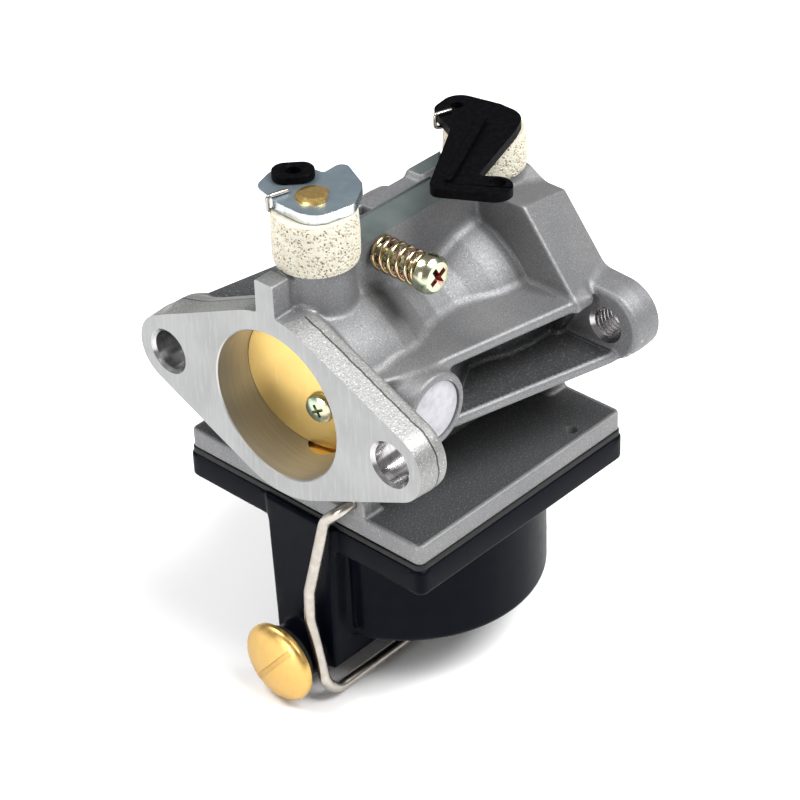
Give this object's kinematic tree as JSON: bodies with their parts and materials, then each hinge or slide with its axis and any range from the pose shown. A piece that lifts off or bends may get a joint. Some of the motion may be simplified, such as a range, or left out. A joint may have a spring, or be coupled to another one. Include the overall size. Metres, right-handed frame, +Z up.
{
  "type": "carburetor",
  "caption": "Side-draught small-engine carburetor with butterfly throttle and choke, foam-sealed levers and a clip-on plastic float bowl.",
  "frame": {"origin": "centre of the throttle bore on the engine flange face, midway between the two stud holes", "axes": "+X along the bore from the engine flange towards the air inlet, +Z up, +Y towards the fuel inlet spigot"},
  "size_m": [0.0609, 0.063, 0.0888],
  "materials": {
    "cast_body": "grainy die casting with machined faces",
    "plug": "satin",
    "brass": "turned, satin",
    "plated_screw": "yellow zinc plated",
    "plated_lever": "clear zinc plated",
    "spring_wire": "bright drawn",
    "black_plastic": "moulded",
    "bowl_plastic": "semi-gloss moulded",
    "foam": "open-cell foam",
    "rubber": "matte",
    "float_plastic": "moulded"
  },
  "bodies": {
    "casting": {"main_body": "cast_body", "welch_plug": "plug", "idle_screw_spring": "plated_screw", "throttle_foam_seal": "foam", "choke_foam_seal": "foam", "bowl_gasket": "rubber", "float_bowl": "bowl_plastic", "bowl_screw": "brass", "bowl_screw_seal": "rubber", "float_hinge_pin": "spring_wire", "inlet_seat": "brass", "main_nozzle": "brass", "nozzle_o_ring": "rubber", "main_jet": "brass", "fuel_inlet_spigot": "brass"},
    "throttle": {"throttle_shaft": "brass", "throttle_plate": "brass", "throttle_screws": "plated_screw", "throttle_lever": "plated_lever", "link_bushing": "black_plastic", "throttle_spring": "spring_wire"},
    "choke": {"choke_shaft": "plated_lever", "choke_plate": "plated_lever", "choke_screws": "plated_screw", "choke_lever": "black_plastic", "choke_spring": "spring_wire"},
    "mixture_screw": {"idle_mixture_screw": "plated_screw"},
    "bail": {"bail_wire": "spring_wire"},
    "float": {"bowl_float": "float_plastic"},
    "needle": {"inlet_needle": "brass"}
  },
  "joints": [
    {"name": "throttle_turn", "type": "hinge", "parent": "casting", "child": "throttle", "pos_m": [0.0106, 0, 0], "axis": [0, 0, 1], "range_deg": [0, 77], "stiffness_Nm_per_rad": 0.02, "springref_deg": -34.38, "deforming": ["throttle_spring"]},
    {"name": "choke_turn", "type": "hinge", "parent": "casting", "child": "choke", "pos_m": [0.0489, 0, 0], "axis": [0, 0, 1], "range_deg": [0, 75], "stiffness_Nm_per_rad": 0.01, "springref_deg": -34.38, "deforming": ["choke_spring"]},
    {"name": "mixture_screw_turn", "type": "hinge", "parent": "casting", "child": "mixture_screw", "pos_m": [0.0203, -0.0132, 0.0196], "axis": [0, 1, 0], "range_deg": [-540, 720]},
    {"name": "bail_swing", "type": "hinge", "parent": "casting", "child": "bail", "pos_m": [0.027, -0.0112, -0.0154], "axis": [1, 0, 0], "range_deg": [-95, 0]},
    {"name": "float_rise", "type": "hinge", "parent": "casting", "child": "float", "pos_m": [0.045, 0, -0.0252], "axis": [0, 1, 0], "range_deg": [0, 4]},
    {"name": "needle_lift", "type": "slide", "parent": "casting", "child": "needle", "axis": [0, 0, 1], "range_m": [0, 0.00046]}
  ],
  "couplings": [
    {"joint": "needle_lift", "follows": "float_rise", "m_per_rad": 0.0064}
  ]
}
